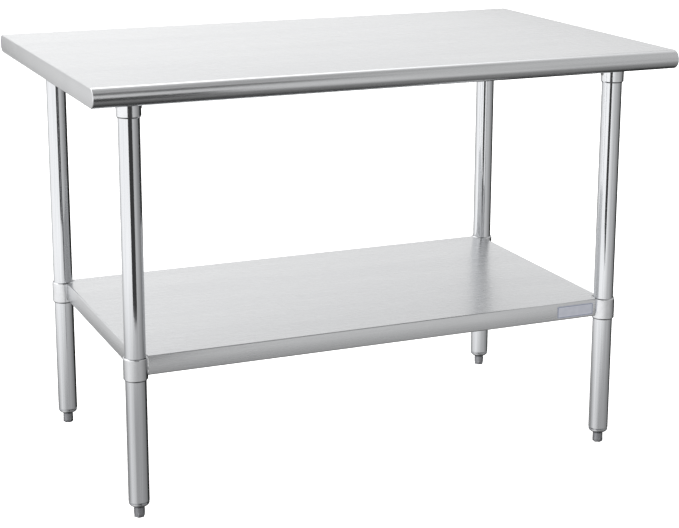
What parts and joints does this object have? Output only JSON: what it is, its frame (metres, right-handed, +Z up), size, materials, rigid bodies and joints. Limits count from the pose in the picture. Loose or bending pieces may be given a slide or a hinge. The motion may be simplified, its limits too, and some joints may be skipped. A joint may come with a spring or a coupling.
{
  "type": "work table",
  "caption": "Stainless commercial work table with rolled front and back edges, tube legs in sockets, a height-adjustable undershelf and screw levelling feet.",
  "frame": {"origin": "on the floor plane, under the middle of the top", "axes": "+X along the table's length to the right as seen from the front, +Y from the front to the back, +Z up out of the worktop"},
  "size_m": [1.2192, 0.762, 0.8636],
  "materials": {
    "brushed_stainless": "satin, fine lengthwise brushing",
    "polished_tube": "polished",
    "galvanised_sheet": "dull zinc coating",
    "cast_zinc": "bright plated casting",
    "zinc_screw": "zinc plated",
    "foot_steel": "machined steel",
    "label_foil": "satin foil"
  },
  "bodies": {
    "frame": {"worktop": "brushed_stainless", "channel_front": "galvanised_sheet", "channel_rear": "galvanised_sheet", "channel_cross": "galvanised_sheet", "stud_nut_front_left": "zinc_screw", "stud_nut_front_middle": "zinc_screw", "stud_nut_front_right": "zinc_screw", "stud_nut_rear_left": "zinc_screw", "stud_nut_rear_middle": "zinc_screw", "stud_nut_rear_right": "zinc_screw", "leg_socket_front_left": "cast_zinc", "leg_socket_front_right": "cast_zinc", "leg_socket_rear_left": "cast_zinc", "leg_socket_rear_right": "cast_zinc", "socket_screw_front_left": "zinc_screw", "socket_screw_front_right": "zinc_screw", "socket_screw_rear_left": "zinc_screw", "socket_screw_rear_right": "zinc_screw", "leg_tube_front_left": "polished_tube", "leg_tube_front_right": "polished_tube", "leg_tube_rear_left": "polished_tube", "leg_tube_rear_right": "polished_tube", "foot_insert_front_left": "cast_zinc", "foot_insert_front_right": "cast_zinc", "foot_insert_rear_left": "cast_zinc", "foot_insert_rear_right": "cast_zinc"},
    "undershelf": {"shelf_pan": "brushed_stainless", "shelf_channel": "galvanised_sheet", "shelf_collar_front_left": "cast_zinc", "shelf_collar_front_right": "cast_zinc", "shelf_collar_rear_left": "cast_zinc", "shelf_collar_rear_right": "cast_zinc", "collar_screw_front_left": "zinc_screw", "collar_screw_front_right": "zinc_screw", "collar_screw_rear_left": "zinc_screw", "collar_screw_rear_right": "zinc_screw", "label": "label_foil"},
    "foot_stem_front_left": {"foot_stem_front_left": "zinc_screw"},
    "foot_tip_front_left": {"foot_tip_front_left": "foot_steel"},
    "foot_stem_front_right": {"foot_stem_front_right": "zinc_screw"},
    "foot_tip_front_right": {"foot_tip_front_right": "foot_steel"},
    "foot_stem_rear_left": {"foot_stem_rear_left": "zinc_screw"},
    "foot_tip_rear_left": {"foot_tip_rear_left": "foot_steel"},
    "foot_stem_rear_right": {"foot_stem_rear_right": "zinc_screw"},
    "foot_tip_rear_right": {"foot_tip_rear_right": "foot_steel"}
  },
  "joints": [
    {"name": "shelf_height", "type": "slide", "parent": "frame", "child": "undershelf", "axis": [0, 0, 1], "range_m": [-0.2, 0.4]},
    {"name": "foot_travel_front_left", "type": "slide", "parent": "frame", "child": "foot_stem_front_left", "axis": [0, 0, -1], "range_m": [-0.001, 0.025]},
    {"name": "foot_turn_front_left", "type": "hinge", "parent": "foot_stem_front_left", "child": "foot_tip_front_left", "pos_m": [-0.5164, -0.279, 0.0222], "axis": [0, 0, -1], "range_deg": [-190, 4650]},
    {"name": "foot_travel_front_right", "type": "slide", "parent": "frame", "child": "foot_stem_front_right", "axis": [0, 0, -1], "range_m": [-0.001, 0.025]},
    {"name": "foot_turn_front_right", "type": "hinge", "parent": "foot_stem_front_right", "child": "foot_tip_front_right", "pos_m": [0.5164, -0.279, 0.0222], "axis": [0, 0, -1], "range_deg": [-190, 4650]},
    {"name": "foot_travel_rear_left", "type": "slide", "parent": "frame", "child": "foot_stem_rear_left", "axis": [0, 0, -1], "range_m": [-0.001, 0.025]},
    {"name": "foot_turn_rear_left", "type": "hinge", "parent": "foot_stem_rear_left", "child": "foot_tip_rear_left", "pos_m": [-0.5164, 0.279, 0.0222], "axis": [0, 0, -1], "range_deg": [-190, 4650]},
    {"name": "foot_travel_rear_right", "type": "slide", "parent": "frame", "child": "foot_stem_rear_right", "axis": [0, 0, -1], "range_m": [-0.001, 0.025]},
    {"name": "foot_turn_rear_right", "type": "hinge", "parent": "foot_stem_rear_right", "child": "foot_tip_rear_right", "pos_m": [0.5164, 0.279, 0.0222], "axis": [0, 0, -1], "range_deg": [-190, 4650]}
  ],
  "couplings": [
    {"joint": "foot_turn_front_left", "follows": "foot_travel_front_left", "rad_per_m": 3215.8},
    {"joint": "foot_turn_front_right", "follows": "foot_travel_front_right", "rad_per_m": 3215.8},
    {"joint": "foot_turn_rear_left", "follows": "foot_travel_rear_left", "rad_per_m": 3215.8},
    {"joint": "foot_turn_rear_right", "follows": "foot_travel_rear_right", "rad_per_m": 3215.8}
  ]
}
